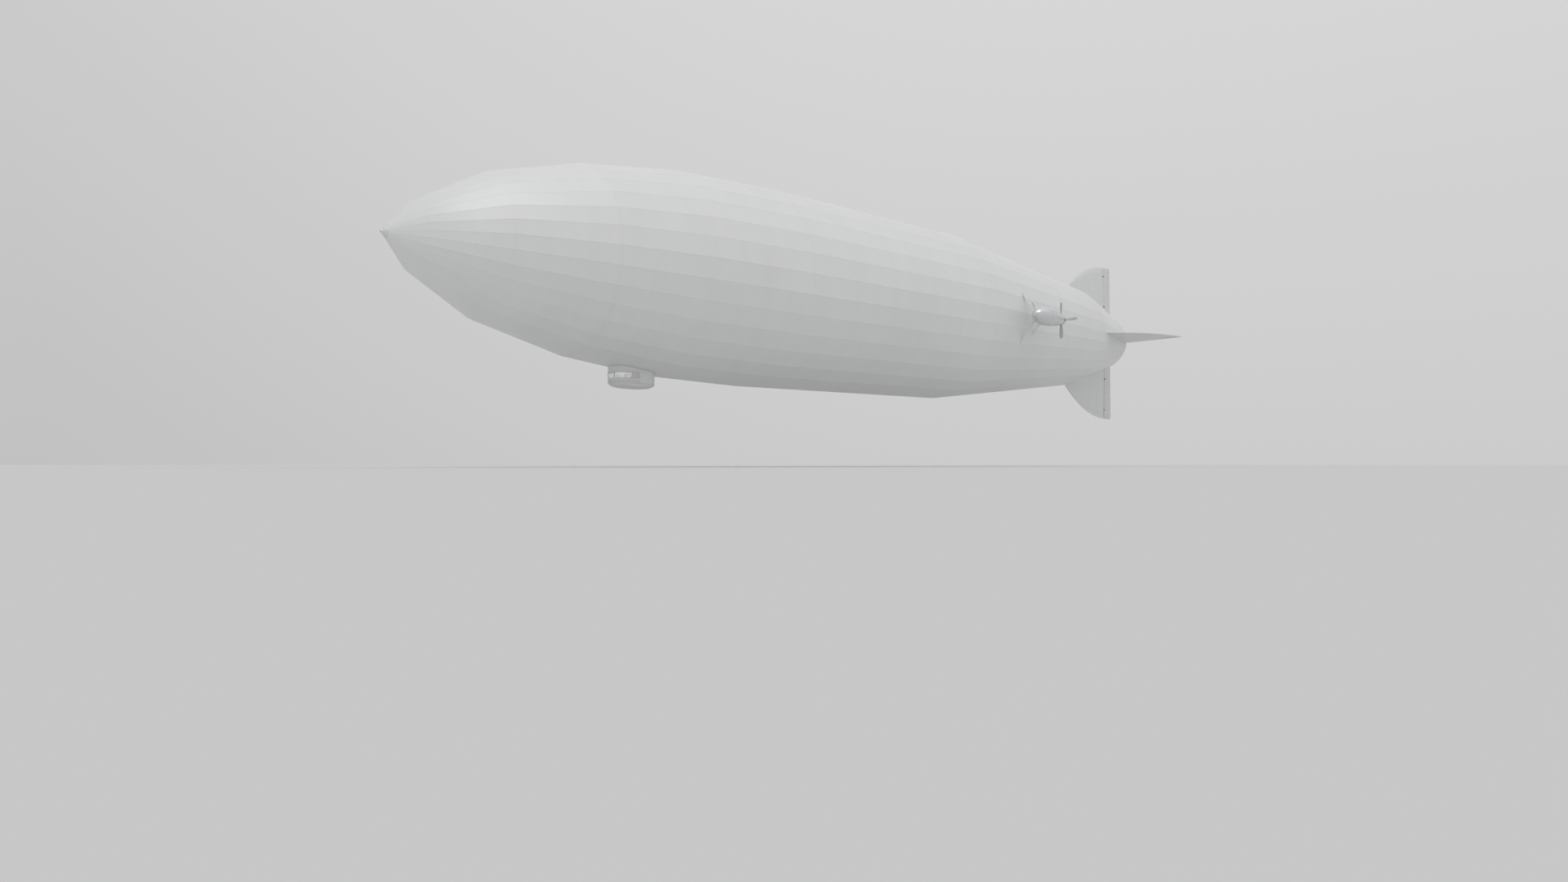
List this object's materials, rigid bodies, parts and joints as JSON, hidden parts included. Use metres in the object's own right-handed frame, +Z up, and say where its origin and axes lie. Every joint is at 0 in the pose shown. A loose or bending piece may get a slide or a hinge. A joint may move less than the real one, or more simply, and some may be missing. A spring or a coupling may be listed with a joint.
{
  "type": "rigid airship, scale model at 1:10",
  "caption": "Rigid airship model with a faceted spindle hull, cross-shaped tail fins, side engine nacelles with pusher propellers and a control car under the bow.",
  "frame": {"origin": "on the hull's axis at the centre of buoyancy, 6.75 m aft of the nose's tip", "axes": "+X towards the nose along the hull's axis, +Y to port, +Z up"},
  "size_m": [14.8399, 3.734, 3.03],
  "materials": {
    "cover": "silver-grey doped fabric, satin",
    "fin_cover": "grey doped fabric, satin",
    "cowl": "polished sheet",
    "strut": "satin",
    "engine": "painted",
    "propeller": "dark grey, satin",
    "car": "grey, satin",
    "deck": "oiled planks",
    "glass": "clear",
    "fitting": "brushed"
  },
  "bodies": {
    "hull": {"nose_spindle": "fitting", "nose_cap": "cover", "bow_section": "cover", "fore_section": "cover", "midship_section_fore": "cover", "midship_section_aft": "cover", "aft_section": "cover", "quarter_section": "cover", "fin_section": "cover", "tail_cap": "cover", "fin_top": "fin_cover", "fin_starboard": "fin_cover", "fin_bottom": "fin_cover", "fin_port": "fin_cover", "cowl_front_port": "cowl", "cowl_front_starboard": "cowl", "cowl_rear_port": "cowl", "cowl_rear_starboard": "cowl", "engine_port": "engine", "engine_starboard": "engine", "struts_front_port": "strut", "struts_front_starboard": "strut", "struts_rear_port": "strut", "struts_rear_starboard": "strut", "car_shell": "car", "car_bottom": "car", "car_deck": "deck", "chart_table": "deck", "helm_rudder": "fitting", "helm_elevator": "fitting", "pane_front": "glass", "pane_port_front": "glass", "pane_starboard_front": "glass", "pane_port_side": "glass", "pane_starboard_side": "glass"},
    "rudder_top": {"rudder_top": "fin_cover"},
    "rudder_bottom": {"rudder_bottom": "fin_cover"},
    "elevator_port": {"elevator_port": "fin_cover"},
    "elevator_starboard": {"elevator_starboard": "fin_cover"},
    "propeller_port": {"propeller_port": "propeller"},
    "propeller_starboard": {"propeller_starboard": "propeller"},
    "car_door": {"car_door": "car", "pane_door": "glass"}
  },
  "joints": [
    {"name": "rudder_top_turn", "type": "hinge", "parent": "hull", "child": "rudder_top", "pos_m": [-7.3875, 0, 1], "axis": [0, 0, 1], "range_deg": [-25, 25]},
    {"name": "rudder_bottom_turn", "type": "hinge", "parent": "hull", "child": "rudder_bottom", "pos_m": [-7.3875, 0, -1], "axis": [0, 0, 1], "range_deg": [-25, 25]},
    {"name": "elevator_port_turn", "type": "hinge", "parent": "hull", "child": "elevator_port", "pos_m": [-7.3875, 1, 0], "axis": [0, 1, 0], "range_deg": [-25, 25]},
    {"name": "elevator_starboard_turn", "type": "hinge", "parent": "hull", "child": "elevator_starboard", "pos_m": [-7.3875, -1, 0], "axis": [0, 1, 0], "range_deg": [-25, 25]},
    {"name": "propeller_port_spin", "type": "hinge", "parent": "hull", "child": "propeller_port", "pos_m": [-3.41, 1.575, -0.105], "axis": [1, 0, 0], "continuous": true},
    {"name": "propeller_starboard_spin", "type": "hinge", "parent": "hull", "child": "propeller_starboard", "pos_m": [-3.41, -1.575, -0.105], "axis": [1, 0, 0], "continuous": true},
    {"name": "car_door_swing", "type": "hinge", "parent": "hull", "child": "car_door", "pos_m": [3.658, -0.1795, -1.344], "axis": [0, 0, 1], "range_deg": [0, 95]}
  ],
  "couplings": [
    {"joint": "rudder_bottom_turn", "follows": "rudder_top_turn", "ratio": 1},
    {"joint": "elevator_starboard_turn", "follows": "elevator_port_turn", "ratio": 1}
  ]
}
